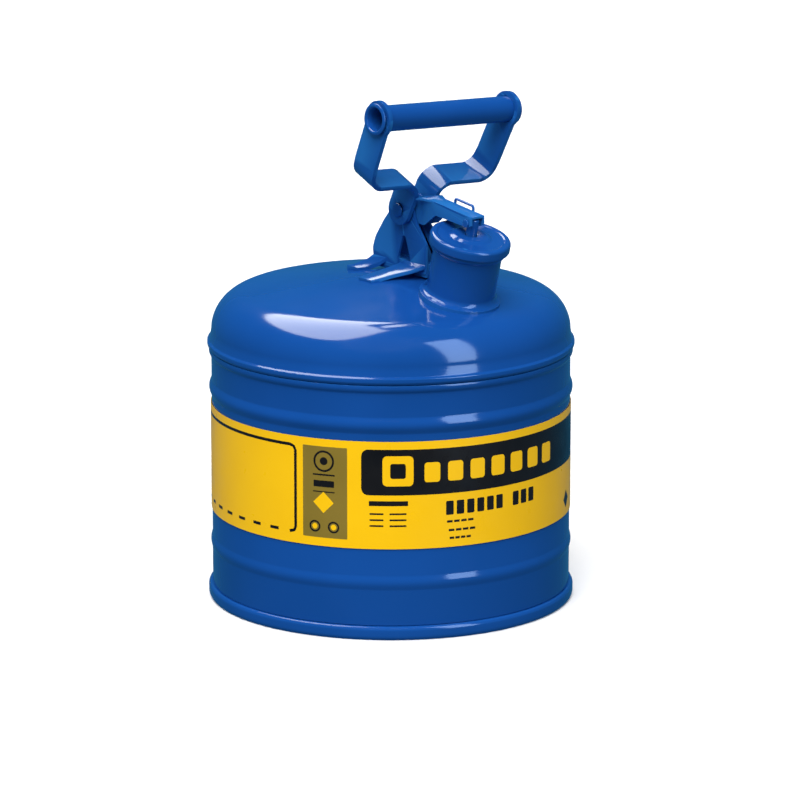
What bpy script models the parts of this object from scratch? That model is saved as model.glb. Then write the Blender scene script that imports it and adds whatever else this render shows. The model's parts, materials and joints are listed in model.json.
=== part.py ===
"""Safety gas can, Type I, 7.5 litre: a seamed steel tank with a sprung, self-closing spout lid.

Frame: origin at the centre of the base, +Z up, +X towards the spout, +Y to the left. Metres.
"""
import math

import bmesh
import bpy
from mathutils import Euler, Vector

# ---- driving dimensions -------------------------------------------------
MM = 0.001
GAP = 0.3 * MM                  # clearance that touching pieces keep
SHEET = 1.0 * MM                # tank sheet

BODY_R = 118.0 * MM             # plain wall of the tank
CHIME_R = 120.65 * MM           # bottom chime and top seam
CHIME_TOP = 9.0 * MM
FLOOR_Z = 6.0 * MM              # recessed floor of the bottom pan
SEAM_Z = 168.0 * MM             # dark line between the two beads of the top seam
LOWER_RIB_Z = 37.5 * MM
UPPER_RIB_Z = 141.1 * MM
LABEL_Z = (60.3 * MM, 130.9 * MM)
LABEL_THICK = 0.3 * MM
LABEL_GAP_SEGMENTS = 2          # the label's ends stop short of each other at the back

SHOULDER_R = 26.5 * MM          # rounding between wall and dome
SHOULDER_Z = 178.8 * MM
CONE_SLOPE = math.radians(10.6)
APEX_X = 20.0 * MM              # the shallow cone leans towards the spout
BIG_SEGMENTS = 48

SPOUT_TILT = math.radians(15.0)
SPOUT_X = 70.6 * MM             # where the spout's axis meets the dome
SPOUT_Z = 212.6 * MM
NECK_R = 22.25 * MM
NECK_WALL = 1.5 * MM
NECK_TOP = 36.0 * MM            # distances along the spout's axis from the dome
FLANGE_R = 26.5 * MM
LID_R = 26.3 * MM
LID_TOP = 42.3 * MM
LID_PIN = 51.8 * MM             # cross pin that the lid tilts on
CROSS_HOLE_R = 1.9 * MM
CROSS_SEGMENTS = 12
SCREEN_BOTTOM = -58.0 * MM
MID_SEGMENTS = 32

PIVOT = Vector((20.5 * MM, 0.0, 262.0 * MM))
PIN_R = 3.0 * MM
SMALL_SEGMENTS = 20

CHEEK_Y = (4.4 * MM, 6.0 * MM)  # bracket cheeks, inner and outer face
CHEEK_FRONT = 43.5 * MM         # clears the spout's flange
FRONT_FOOT = (                  # x from, x to, y, bottom z and top z of each station, outwards from the cheek
    (21.0 * MM, 43.0 * MM, 5.2 * MM, 226.0 * MM, 228.4 * MM),
    (20.0 * MM, 39.5 * MM, 13.0 * MM, 223.6 * MM, 226.0 * MM),
    (9.5 * MM, 23.5 * MM, 28.0 * MM, 217.2 * MM, 219.8 * MM),
    (7.5 * MM, 20.5 * MM, 33.0 * MM, 213.4 * MM, 218.4 * MM),
)
REAR_FOOT = (
    (-9.8 * MM, 4.0 * MM, 5.2 * MM, 225.8 * MM, 228.2 * MM),
    (-14.0 * MM, -1.0 * MM, 8.5 * MM, 221.4 * MM, 224.0 * MM),
    (-23.0 * MM, -11.0 * MM, 13.0 * MM, 216.6 * MM, 219.4 * MM),
    (-26.5 * MM, -15.0 * MM, 15.5 * MM, 213.0 * MM, 218.6 * MM),
)
LEVER_Y = (2.8 * MM, 4.1 * MM)  # lever flanges at the pivot
LEVER_WIDE = 5.6 * MM           # half width of the lever over the lid
LEVER_SHEET = 1.3 * MM
EAR_Y = 8.8 * MM                # ears at the back of the lever that the leaning handle rests on
EAR_X = 36.65 * MM

HANDLE_LEAN = math.radians(23.3)
HANDLE_ROLL = math.radians(3.5)  # sideways hang allowed by the oversize pin holes
GRIP_U = 71.5 * MM              # grip axis above the pivot, in the handle's frame
GRIP_V = 54.3 * MM              # strap centre line at the grip
GRIP_R = 8.5 * MM
GRIP_BORE = 6.6 * MM
STRAP_HALF = 10.2 * MM          # half width of the strap, and radius of its end at the pin
EYE_R = 11.8 * MM               # round eye at the grip
STRAP_THICK = 3.0 * MM
STRAP_V = 8.8 * MM              # strap centre line at the pivot


# ---- helpers ------------------------------------------------------------
def clear_scene():
    for item in list(bpy.data.objects):
        bpy.data.objects.remove(item, do_unlink=True)


def paint(name, colour, roughness, metallic=0.0):
    material = bpy.data.materials.new(name)
    material.use_nodes = True
    shader = material.node_tree.nodes["Principled BSDF"]
    shader.inputs["Base Color"].default_value = (*colour, 1.0)
    shader.inputs["Roughness"].default_value = roughness
    shader.inputs["Metallic"].default_value = metallic
    return material


def add_object(name, points, faces, material=None, sharp=40.0):
    """One closed mesh object, faces turned outwards."""
    mesh = bpy.data.meshes.new(name)
    mesh.from_pydata([tuple(p) for p in points], [], faces)
    work = bmesh.new()
    work.from_mesh(mesh)
    bmesh.ops.remove_doubles(work, verts=work.verts, dist=1e-7)
    bmesh.ops.recalc_face_normals(work, faces=work.faces)
    work.to_mesh(mesh)
    work.free()
    mesh.shade_smooth()
    mesh.set_sharp_from_angle(angle=math.radians(sharp))
    item = bpy.data.objects.new(name, mesh)
    bpy.context.scene.collection.objects.link(item)
    if material:
        mesh.materials.append(material)
    return item


def turn(name, profile, segments, material=None, shift=None):
    """Closed (r, z) profile turned about Z. Points at r = 0 become poles. shift moves the rings in x."""
    points = []
    rings = []
    for r, z in profile:
        offset = shift(r) if shift else 0.0
        if r < 1e-6:
            rings.append([len(points)] * segments)
            points.append((offset, 0.0, z))
            continue
        rings.append(list(range(len(points), len(points) + segments)))
        for i in range(segments):
            angle = math.tau * i / segments
            points.append((offset + r * math.cos(angle), r * math.sin(angle), z))
    faces = []
    for a, b in zip(rings, rings[1:] + rings[:1]):
        for i in range(segments):
            j = (i + 1) % segments
            corners = [a[i], a[j], b[j], b[i]]
            unique = list(dict.fromkeys(corners))
            if len(unique) > 2:
                faces.append(unique)
    return add_object(name, points, faces, material)


def loft(name, sections, material=None, closed=False):
    """Skin equal-length loops of points; the ends are capped, or joined when closed."""
    count = len(sections[0])
    points = [p for section in sections for p in section]
    faces = []
    steps = len(sections) if closed else len(sections) - 1
    for k in range(steps):
        a = k * count
        b = ((k + 1) % len(sections)) * count
        for i in range(count):
            j = (i + 1) % count
            faces.append([a + i, a + j, b + j, b + i])
    if not closed:
        faces.append(list(range(count)))
        faces.append([(len(sections) - 1) * count + i for i in range(count)])
    return add_object(name, points, faces, material)


def slab(name, outline, y0, y1, material=None):
    """An (x, z) outline as a plate between two y values."""
    sections = [[Vector((x, y, z)) for x, z in outline] for y in (y0, y1)]
    return loft(name, sections, material)


def wire(name, route, radius, material, sides=8):
    """Round wire along a route of points, with square-cut ends."""
    sections = []
    side = None
    for k, point in enumerate(route):
        ahead = route[min(k + 1, len(route) - 1)]
        behind = route[max(k - 1, 0)]
        along = (ahead - behind).normalized()
        if side is None:
            side = along.orthogonal().normalized()
        side = (side - along * side.dot(along)).normalized()
        other = along.cross(side)
        loop = []
        for i in range(sides):
            angle = math.tau * i / sides
            loop.append(point + (side * math.cos(angle) + other * math.sin(angle)) * radius)
        sections.append(loop)
    return loft(name, sections, material)


def cutter(item):
    item.hide_render = True
    item.display_type = "WIRE"
    return item


def boolean(item, tool, operation):
    modifier = item.modifiers.new(operation.lower(), "BOOLEAN")
    modifier.operation = operation
    modifier.solver = "EXACT"
    modifier.object = tool
    cutter(tool)


def round_cutter(name, radius, y_half, centre=(0.0, 0.0), segments=SMALL_SEGMENTS):
    """Cylinder along Y at an (x, z) centre."""
    outline = []
    for i in range(segments):
        angle = math.tau * (i + 0.5) / segments
        outline.append((centre[0] + radius * math.cos(angle), centre[1] + radius * math.sin(angle)))
    return cutter(slab(name, outline, -y_half, y_half))


def on_spout(item):
    item.location = (SPOUT_X, 0.0, SPOUT_Z)
    item.rotation_euler = Euler((0.0, SPOUT_TILT, 0.0))
    return item


def arc(centre, radius, start, end, count):
    """Points of an arc in degrees, both ends included."""
    points = []
    for i in range(count + 1):
        angle = math.radians(start + (end - start) * i / count)
        points.append((centre[0] + radius * math.cos(angle), centre[1] + radius * math.sin(angle)))
    return points


def bead(z, half, base_r, proud, count=6):
    """Rounded rib on a wall: (r, z) points from below to above."""
    points = []
    for i in range(count + 1):
        t = i / count
        points.append((base_r + proud * math.sin(math.pi * t) ** 0.8, z + half * (2.0 * t - 1.0)))
    return points


# ---- tank ---------------------------------------------------------------
def make_body_shell(blue):
    inner = BODY_R - SHEET
    outer = [(BODY_R, CHIME_TOP + GAP)]
    outer += bead(LOWER_RIB_Z, 5.0 * MM, BODY_R, 1.0 * MM)
    outer += bead(UPPER_RIB_Z, 5.5 * MM, BODY_R, 1.6 * MM)
    outer += [(BODY_R, 162.6 * MM), (119.3 * MM, 164.2 * MM), (119.7 * MM, 165.6 * MM)]
    outer += [(119.2 * MM, SEAM_Z - GAP), (inner, SEAM_Z - GAP), (inner, CHIME_TOP + GAP)]
    return turn("body_shell", outer, BIG_SEGMENTS, blue)


def make_bottom_pan(blue):
    """Chime bead, inner skirt inside the shell, and the raised floor."""
    skirt = BODY_R - SHEET - GAP
    profile = [(0.0, FLOOR_Z + SHEET), (skirt - 9.0 * MM, FLOOR_Z + SHEET)]
    profile += [(skirt - 3.0 * MM, FLOOR_Z + 1.6 * MM), (skirt - SHEET, FLOOR_Z + 5.0 * MM)]
    profile += [(skirt - SHEET, 18.0 * MM), (skirt, 18.0 * MM), (skirt, CHIME_TOP)]
    profile += [(119.4 * MM, CHIME_TOP), (CHIME_R, 7.2 * MM), (CHIME_R, 2.0 * MM)]
    profile += [(119.4 * MM, 0.0), (115.4 * MM, 0.0), (114.2 * MM, 1.6 * MM)]
    profile += [(skirt - 4.0 * MM, FLOOR_Z - 1.0 * MM), (skirt - 9.0 * MM, FLOOR_Z), (0.0, FLOOR_Z)]
    return turn("bottom_pan", profile, BIG_SEGMENTS, blue)


def dome_curve(offset=0.0):
    """Outer (r, z) line of the dome from the wall to the apex, moved out by offset."""
    centre = (BODY_R - SHOULDER_R, SHOULDER_Z)
    stop = 90.0 - math.degrees(CONE_SLOPE)
    points = arc(centre, SHOULDER_R + offset, 0.0, stop, 8)
    edge_r, edge_z = points[-1]
    for share in (0.66, 0.33, 0.0):
        points.append((edge_r * share, edge_z + edge_r * (1.0 - share) * math.tan(CONE_SLOPE)))
    return points


def dome_shift(r):
    """The cone's apex stands towards the spout; the shoulder stays round."""
    edge = BODY_R - SHOULDER_R + SHOULDER_R * math.sin(CONE_SLOPE)
    return APEX_X * max(0.0, 1.0 - r / edge)


def make_dome_top(blue):
    skirt = BODY_R - SHEET - GAP
    profile = [(skirt, 158.0 * MM), (skirt, SEAM_Z), (119.5 * MM, SEAM_Z), (CHIME_R, 169.6 * MM)]
    profile += [(CHIME_R, 172.6 * MM), (119.8 * MM, 174.8 * MM), (118.4 * MM, 176.8 * MM)]
    profile += dome_curve()
    profile += list(reversed(dome_curve(-SHEET)))
    profile += [(skirt - SHEET, 172.0 * MM), (skirt - SHEET, 158.0 * MM)]
    dome = turn("dome_top", profile, BIG_SEGMENTS, blue, dome_shift)
    bore = NECK_R - NECK_WALL
    reach = 30.0 * MM
    hole = turn("spout_hole", [(0.0, reach), (bore, reach), (bore, -reach), (0.0, -reach)], MID_SEGMENTS)
    boolean(dome, on_spout(hole), "DIFFERENCE")
    return dome


def make_dome_tool():
    """Solid under the dome's outer face plus the clearance: trims what stands on the dome."""
    profile = [(0.0, 150.0 * MM), (BODY_R + GAP, 150.0 * MM)] + dome_curve(GAP)
    return cutter(turn("dome_tool", profile, BIG_SEGMENTS, None, dome_shift))


def make_label_band(yellow):
    low, high = LABEL_Z
    inner = BODY_R + GAP
    outer = inner + LABEL_THICK
    sections = []
    first = BIG_SEGMENTS // 2 + LABEL_GAP_SEGMENTS // 2
    for i in range(BIG_SEGMENTS - LABEL_GAP_SEGMENTS + 1):
        angle = math.tau * (first + i) / BIG_SEGMENTS
        c, s = math.cos(angle), math.sin(angle)
        corners = ((inner, low), (outer, low), (outer, high), (inner, high))
        sections.append([Vector((r * c, r * s, z)) for r, z in corners])
    return loft("label_band", sections, yellow)


# ---- spout --------------------------------------------------------------
def make_spout_neck(blue, dome_tool):
    bore = NECK_R - NECK_WALL
    fillet = arc((FLANGE_R, 5.2 * MM), FLANGE_R - NECK_R, 180.0, 262.0, 6)
    profile = [(bore, -4.0 * MM), (FLANGE_R, -4.0 * MM), (FLANGE_R, 0.9 * MM)]
    profile += list(reversed(fillet))
    profile += [(NECK_R, 31.4 * MM), (23.9 * MM, 32.6 * MM), (24.3 * MM, 34.2 * MM), (23.7 * MM, 35.6 * MM)]
    profile += [(22.6 * MM, NECK_TOP), (bore, NECK_TOP)]
    neck = on_spout(turn("spout_neck", profile, MID_SEGMENTS, blue))
    boolean(neck, dome_tool, "DIFFERENCE")
    return neck


def make_arrester(brass, mesh_steel):
    """Flame arrester: a flanged collar in the neck, two tube screens and their end cap."""
    bore = NECK_R - NECK_WALL - GAP
    top = 33.0 * MM
    collar = [(12.9 * MM, top), (bore, top), (bore, top - 8.0 * MM), (18.6 * MM, top - 8.0 * MM)]
    collar += [(18.6 * MM, top - 2.0 * MM), (12.9 * MM, top - 2.0 * MM)]
    on_spout(turn("arrester_collar", collar, MID_SEGMENTS, brass))
    for name, outer in (("arrester_outer_screen", 18.2 * MM), ("arrester_inner_screen", 14.6 * MM)):
        high = top - 2.3 * MM
        inner = outer - 0.8 * MM
        tube = [(inner, high), (outer, high), (outer, SCREEN_BOTTOM), (inner, SCREEN_BOTTOM)]
        on_spout(turn(name, tube, MID_SEGMENTS, mesh_steel))
    low = SCREEN_BOTTOM - GAP
    cap = [(0.0, low), (18.2 * MM, low), (18.2 * MM, low - 1.6 * MM), (0.0, low - 1.6 * MM)]
    on_spout(turn("arrester_end_cap", cap, MID_SEGMENTS, brass))


def make_lid(blue, rubber, steel):
    inner = LID_R - 1.3 * MM
    low = 36.4 * MM
    under = LID_TOP - 2.2 * MM
    cap = [(4.0 * MM, under), (inner, under), (inner, low - 0.9 * MM), (LID_R - 0.4 * MM, low - 0.9 * MM)]
    cap += [(LID_R, low - 0.3 * MM)]
    cap += arc((LID_R - 2.2 * MM, LID_TOP - 2.2 * MM), 2.2 * MM, 0.0, 90.0, 4)
    cap += [(13.0 * MM, LID_TOP), (11.0 * MM, LID_TOP + 0.9 * MM), (4.0 * MM, LID_TOP + 0.9 * MM)]
    on_spout(turn("lid_cap", cap, MID_SEGMENTS, blue))

    seat = NECK_TOP + GAP
    ring = [(13.4 * MM, seat), (24.2 * MM, seat), (24.2 * MM, under - GAP), (13.4 * MM, under - GAP)]
    on_spout(turn("lid_gasket", ring, MID_SEGMENTS, rubber))

    disc = [(4.0 * MM, 36.6 * MM), (13.1 * MM, 36.6 * MM), (13.1 * MM, under - GAP), (4.0 * MM, under - GAP)]
    on_spout(turn("gasket_retainer", disc, MID_SEGMENTS, steel))

    high = LID_PIN + 2.6 * MM
    stud = [(0.0, 34.8 * MM), (5.6 * MM, 34.8 * MM), (5.6 * MM, 36.3 * MM), (3.7 * MM, 36.3 * MM)]
    stud += [(3.7 * MM, high - 0.8 * MM), (3.0 * MM, high), (0.0, high)]
    post = on_spout(turn("lid_stud", stud, SMALL_SEGMENTS, blue))
    hole = round_cutter("stud_hole", CROSS_HOLE_R, 9.0 * MM, spout_point(LID_PIN), CROSS_SEGMENTS)
    boolean(post, hole, "DIFFERENCE")


def spout_point(along):
    """(x, z) of a point on the spout's axis."""
    return (SPOUT_X + along * math.sin(SPOUT_TILT), SPOUT_Z + along * math.cos(SPOUT_TILT))


# ---- bracket and hinge --------------------------------------------------
def make_bracket(blue, dome_tool):
    """Saddle on the dome: base plate, two cheeks with an arched window, and splayed feet."""
    px, pz = PIVOT.x, PIVOT.z
    low = 222.0 * MM
    cheek = [(-10.0 * MM, low), (-11.5 * MM, 232.0 * MM), (-8.5 * MM, 240.0 * MM), (0.5 * MM, 252.5 * MM)]
    cheek += arc((px, pz), 9.6 * MM, 165.0, 20.0, 9)
    cheek += [(33.0 * MM, 255.0 * MM), (CHEEK_FRONT, 242.0 * MM), (CHEEK_FRONT, low), (27.5 * MM, low)]
    cheek += [(27.5 * MM, 229.5 * MM), (22.3 * MM, 244.5 * MM), (19.5 * MM, 244.5 * MM)]
    cheek += [(14.5 * MM, 229.5 * MM), (14.5 * MM, low)]
    base_high = 228.6 * MM
    bracket = slab("pivot_bracket", cheek, CHEEK_Y[0], CHEEK_Y[1], blue)
    boolean(bracket, slab("cheek_right", cheek, -CHEEK_Y[1], -CHEEK_Y[0]), "UNION")
    back = -9.8 * MM
    base_low = 220.0 * MM
    plate = [(back, base_low), (CHEEK_FRONT, base_low), (CHEEK_FRONT, base_high), (back, base_high)]
    boolean(bracket, slab("saddle_plate", plate, -CHEEK_Y[0] - 1.0 * MM, CHEEK_Y[0] + 1.0 * MM), "UNION")
    for name, side in (("left", 1.0), ("right", -1.0)):
        boolean(bracket, make_foot(f"front_foot_{name}", FRONT_FOOT, side), "UNION")
        boolean(bracket, make_foot(f"rear_foot_{name}", REAR_FOOT, side), "UNION")
    boolean(bracket, round_cutter("bracket_hole", PIN_R + GAP, 12.0 * MM, (px, pz)), "DIFFERENCE")
    boolean(bracket, dome_tool, "DIFFERENCE")
    return bracket


def make_foot(name, stations, side):
    """Strip from the cheek's base down to the dome, along (x from, x to, y, bottom z, top z) stations."""
    sections = []
    for x0, x1, y, low, top in stations:
        corners = ((x0, low), (x1, low), (x1, top), (x0, top))
        sections.append([Vector((x, side * y, z)) for x, z in corners])
    return loft(name, sections)


def make_hinge(blue, steel, dark_steel):
    """Pin through straps, cheeks and lever, its washer and retainer, and the lid's return spring."""
    place = Euler((-math.pi / 2, 0.0, 0.0))
    pin = [(0.0, -12.3 * MM), (3.4 * MM, -12.3 * MM), (4.6 * MM, -11.8 * MM), (4.6 * MM, -11.0 * MM)]
    pin += [(PIN_R, -11.0 * MM), (PIN_R, 13.6 * MM), (PIN_R - 0.6 * MM, 14.2 * MM), (0.0, 14.2 * MM)]
    hole = PIN_R + GAP
    washer = [(hole, 11.0 * MM), (6.2 * MM, 11.0 * MM), (6.2 * MM, 11.8 * MM), (hole, 11.8 * MM)]
    retainer = [(hole, 12.1 * MM), (5.0 * MM, 12.1 * MM), (4.4 * MM, 13.2 * MM), (hole, 13.2 * MM)]
    rings = [("hinge_pin", pin, blue), ("pin_washer", washer, steel), ("pin_retainer", retainer, dark_steel)]
    for name, profile, material in rings:
        item = turn(name, profile, SMALL_SEGMENTS, material)
        item.rotation_euler = place
        item.location = PIVOT

    coil = 4.9 * MM
    wire_r = 0.6 * MM
    turns = 2.5
    route = [Vector((-21.0 * MM, -1.7 * MM, -29.0 * MM))]
    steps = int(turns * 16)
    for i in range(steps + 1):
        angle = math.pi * 0.9 - math.tau * turns * i / steps
        y = (-1.7 + 3.4 * i / steps) * MM
        route.append(Vector((coil * math.cos(angle), y, coil * math.sin(angle))))
    route.append(Vector((25.0 * MM, 1.7 * MM, 8.2 * MM)))
    spring = wire("lid_spring", route, wire_r, dark_steel, 6)
    spring.location = PIVOT


# ---- lever --------------------------------------------------------------
def lever_flange(name, side):
    """Side flange: round about the pin, then stepping out to the width over the lid."""
    px, pz = PIVOT.x, PIVOT.z
    radius = 7.6 * MM
    narrow = LEVER_Y[1]
    stations = []
    for angle in (175.0, 150.0, 120.0, 90.0):
        reach = radius * math.sin(math.radians(angle))
        stations.append((px + radius * math.cos(math.radians(angle)), pz - reach, pz + reach, narrow))
    stations += [(33.0 * MM, 254.6 * MM, 271.6 * MM, narrow), (37.5 * MM, 254.0 * MM, 272.2 * MM, narrow)]
    stations += [(42.0 * MM, 255.2 * MM, 272.8 * MM, LEVER_WIDE)]
    stations += [(52.0 * MM, 262.8 * MM, 271.5 * MM, LEVER_WIDE)]
    stations += [(85.0 * MM, 259.8 * MM, 267.25 * MM, LEVER_WIDE)]
    stations += [(88.2 * MM, 261.4 * MM, 266.85 * MM, LEVER_WIDE)]
    sections = []
    for x, low, high, outer in stations:
        corners = ((outer - LEVER_SHEET, low), (outer, low), (outer, high), (outer - LEVER_SHEET, high))
        sections.append([Vector((x, side * y, z)) for y, z in corners])
    return loft(name, sections)


def make_lever(blue):
    web = []
    for x, z, half in ((EAR_X, 272.2 * MM, EAR_Y), (42.0 * MM, 272.8 * MM, EAR_Y),
                       (49.0 * MM, 271.9 * MM, LEVER_WIDE), (88.2 * MM, 266.85 * MM, LEVER_WIDE)):
        corners = ((-half, z - LEVER_SHEET), (half, z - LEVER_SHEET), (half, z), (-half, z))
        web.append([Vector((x, y, height)) for y, height in corners])
    lever = loft("lid_lever", web, blue)
    boolean(lever, lever_flange("lever_flange_left", 1.0), "UNION")
    boolean(lever, lever_flange("lever_flange_right", -1.0), "UNION")
    reach = 12.0 * MM
    pin_hole = round_cutter("lever_pin_hole", PIN_R + GAP, reach, (PIVOT.x, PIVOT.z))
    cross_hole = round_cutter("lever_cross_hole", CROSS_HOLE_R, reach, spout_point(LID_PIN), CROSS_SEGMENTS)
    boolean(lever, pin_hole, "DIFFERENCE")
    boolean(lever, cross_hole, "DIFFERENCE")
    return lever


def make_lever_fittings(blue):
    x, z = spout_point(LID_PIN)
    inner = LEVER_WIDE + GAP
    outer = inner + 1.3 * MM
    pin = [(0.0, -outer), (2.6 * MM, -outer), (2.6 * MM, -inner), (1.6 * MM, -inner)]
    pin += [(1.6 * MM, inner), (2.6 * MM, inner), (2.6 * MM, outer), (0.0, outer)]
    cross = turn("lid_cross_pin", pin, CROSS_SEGMENTS, blue)
    cross.rotation_euler = Euler((-math.pi / 2, 0.0, 0.0))
    cross.location = (x, 0.0, z)

    y = LEVER_WIDE + 1.4 * MM
    rise = 2.6 * MM
    slope = -0.1285
    start = Vector((57.5 * MM, y, 270.6 * MM))
    run = 18.0 * MM
    end = start + Vector((run, 0.0, run * slope))
    up = Vector((0.0, 0.0, rise))
    down = Vector((0.0, 0.0, -3.4 * MM))
    hook = Vector((0.0, -0.2 * MM, 0.0))
    route = [start + down + hook, start + down * 0.6, start + up * 0.7]
    route += [start + up + Vector((1.3 * MM, 0.0, 0.0)), end + up - Vector((1.3 * MM, 0.0, 0.0))]
    route += [end + up * 0.7, end + down * 0.6, end + down + hook]
    wire("wire_clip", route, 0.9 * MM, blue, 8)


# ---- handle -------------------------------------------------------------
def strap_line():
    """Centre line (v, u) of one strap, from the round end above the grip to the round end at the pin."""
    points = []
    slope = (GRIP_V - 52.4 * MM) / (GRIP_U - 38.0 * MM)
    for angle in (84.0, 60.0, 35.0, 0.0, -35.0):
        u = GRIP_U + EYE_R * math.sin(math.radians(angle))
        points.append((GRIP_V + (u - GRIP_U) * slope, u))
    points.append((GRIP_V - 14.0 * MM * slope, GRIP_U - 14.0 * MM))
    points.append((52.4 * MM, 38.0 * MM))
    points += arc((41.2 * MM, 34.6 * MM), 10.6 * MM, -10.0, -90.0, 4)
    points += [(24.0 * MM, 24.0 * MM)]
    points += arc((19.4 * MM, 13.4 * MM), 10.6 * MM, 90.0, 172.0, 5)
    points += [(STRAP_V, 11.5 * MM)]
    for angle in (0.0, -35.0, -60.0, -84.0):
        points.append((STRAP_V, STRAP_HALF * math.sin(math.radians(angle))))
    return points


def strap_half_width(u):
    """Half width along the strap: round about the pin's axis, parallel, then the wider eye at the grip."""
    eye = max(EYE_R ** 2 - (u - GRIP_U) ** 2, 0.0)
    if u > GRIP_U:
        return math.sqrt(eye)
    end = math.sqrt(max(STRAP_HALF ** 2 - min(u, 0.0) ** 2, 0.0))
    return max(end, math.sqrt(eye))


def make_strap(name, side, blue, frame):
    line = strap_line()
    sections = []
    for k, (v, u) in enumerate(line):
        ahead = Vector(line[min(k + 1, len(line) - 1)])
        behind = Vector(line[max(k - 1, 0)])
        along = (ahead - behind).normalized()
        across = Vector((along.y, -along.x)) * (STRAP_THICK / 2)
        half = strap_half_width(u)
        corners = ((half, 1.0), (half, -1.0), (-half, -1.0), (-half, 1.0))
        loop = []
        for x, sign in corners:
            loop.append(Vector((x, side * (v + across.x * sign), u + across.y * sign)))
        sections.append(loop)
    strap = loft(name, sections, blue)
    strap.parent = frame
    for label, radius, height in (("pin", 4.25 * MM, 0.0), ("grip", GRIP_R + GAP, GRIP_U)):
        tool = round_cutter(f"{name}_{label}_hole", radius, 70.0 * MM, (0.0, height), 24)
        tool.parent = frame
        boolean(strap, tool, "DIFFERENCE")


def make_handle(blue):
    frame = bpy.data.objects.new("handle_frame", None)
    bpy.context.scene.collection.objects.link(frame)
    frame.location = PIVOT
    frame.rotation_euler = Euler((-HANDLE_ROLL, HANDLE_LEAN, 0.0))
    make_strap("handle_strap_left", 1.0, blue, frame)
    make_strap("handle_strap_right", -1.0, blue, frame)
    end = GRIP_V + STRAP_THICK / 2 + 1.2 * MM
    half = [(GRIP_R, end), (GRIP_R + 1.7 * MM, end + 0.5 * MM), (GRIP_R + 1.7 * MM, end + 1.6 * MM)]
    half += [(GRIP_R, end + 2.2 * MM), (GRIP_BORE + 0.8 * MM, end + 1.4 * MM), (GRIP_BORE, end - 1.5 * MM)]
    profile = half + [(r, -z) for r, z in reversed(half)]
    grip = turn("grip_tube", profile, 28, blue)
    grip.rotation_euler = Euler((-math.pi / 2, 0.0, 0.0))
    grip.location = (0.0, 0.0, GRIP_U)
    grip.parent = frame


def main():
    clear_scene()
    blue = paint("gloss_blue_paint", (0.005, 0.115, 0.42), 0.22)
    yellow = paint("printed_label", (0.98, 0.62, 0.01), 0.4)
    rubber = paint("gasket_rubber", (0.02, 0.02, 0.02), 0.75)
    steel = paint("plated_steel", (0.62, 0.62, 0.6), 0.3, 1.0)
    dark_steel = paint("spring_steel", (0.2, 0.2, 0.21), 0.35, 1.0)
    brass = paint("arrester_brass", (0.6, 0.43, 0.18), 0.35, 1.0)
    mesh_steel = paint("screen_steel", (0.45, 0.45, 0.45), 0.5, 1.0)

    dome_tool = make_dome_tool()
    make_body_shell(blue)
    make_bottom_pan(blue)
    make_dome_top(blue)
    make_label_band(yellow)
    make_spout_neck(blue, dome_tool)
    make_arrester(brass, mesh_steel)
    make_lid(blue, rubber, steel)
    make_bracket(blue, dome_tool)
    make_hinge(blue, steel, dark_steel)
    make_lever(blue)
    make_lever_fittings(blue)
    make_handle(blue)


main()
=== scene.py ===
"""Looks of the safety gas can: fine meshes, paint, label print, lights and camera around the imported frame.

Metres, in the frame's own axes: origin at the centre of the base, +Z up, +X towards the spout.
"""
import json
import math

import bmesh
import bpy
from mathutils import Euler, Matrix, Vector


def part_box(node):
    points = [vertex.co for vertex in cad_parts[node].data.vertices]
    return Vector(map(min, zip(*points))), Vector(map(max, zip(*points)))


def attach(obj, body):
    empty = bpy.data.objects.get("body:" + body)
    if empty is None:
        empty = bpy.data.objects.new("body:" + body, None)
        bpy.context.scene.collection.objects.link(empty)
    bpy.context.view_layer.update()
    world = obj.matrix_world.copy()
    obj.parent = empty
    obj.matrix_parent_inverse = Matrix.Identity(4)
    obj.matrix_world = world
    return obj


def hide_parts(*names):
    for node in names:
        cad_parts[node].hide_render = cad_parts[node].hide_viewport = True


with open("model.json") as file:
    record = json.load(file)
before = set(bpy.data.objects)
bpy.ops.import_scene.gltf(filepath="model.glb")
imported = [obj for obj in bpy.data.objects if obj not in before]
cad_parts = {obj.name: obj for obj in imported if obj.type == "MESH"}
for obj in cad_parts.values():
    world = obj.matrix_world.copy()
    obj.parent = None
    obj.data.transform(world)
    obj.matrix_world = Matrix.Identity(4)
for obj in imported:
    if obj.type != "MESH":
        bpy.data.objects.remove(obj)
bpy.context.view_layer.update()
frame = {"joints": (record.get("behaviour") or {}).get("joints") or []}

# ---- places taken from the frame ------------------------------------------
MM = 0.001
GAP = 0.3 * MM                      # clearance the CAD keeps between touching parts
JOINTS = {joint["name"]: joint for joint in frame["joints"]}
PIVOT = Vector(JOINTS["lid_open"]["pos_m"])
CROSS_PIN = Vector(JOINTS["lid_tilt"]["pos_m"])
LABEL_LOW, LABEL_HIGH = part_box("label_band")
LABEL_R = LABEL_HIGH.x
BODY_R = LABEL_R - 0.6 * MM
CHIME_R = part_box("bottom_pan")[1].x
CHIME_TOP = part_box("body_shell")[0].z - GAP
SEAM_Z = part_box("body_shell")[1].z + GAP

# ---- sizes of the finer shapes --------------------------------------------
SHEET = 1.0 * MM
FLOOR_Z = 6.0 * MM
SHOULDER_R = 26.5 * MM              # rounding between wall and dome
SHOULDER_Z = SEAM_Z + 10.8 * MM
CONE_SLOPE = math.radians(10.6)
APEX_X = 20.0 * MM                  # the dome's shallow cone leans towards the spout
BIG = 240                           # segments round the tank
MID = 128                           # segments round the spout, lid and grip
SMALL = 64                          # segments round pins and holes

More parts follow.
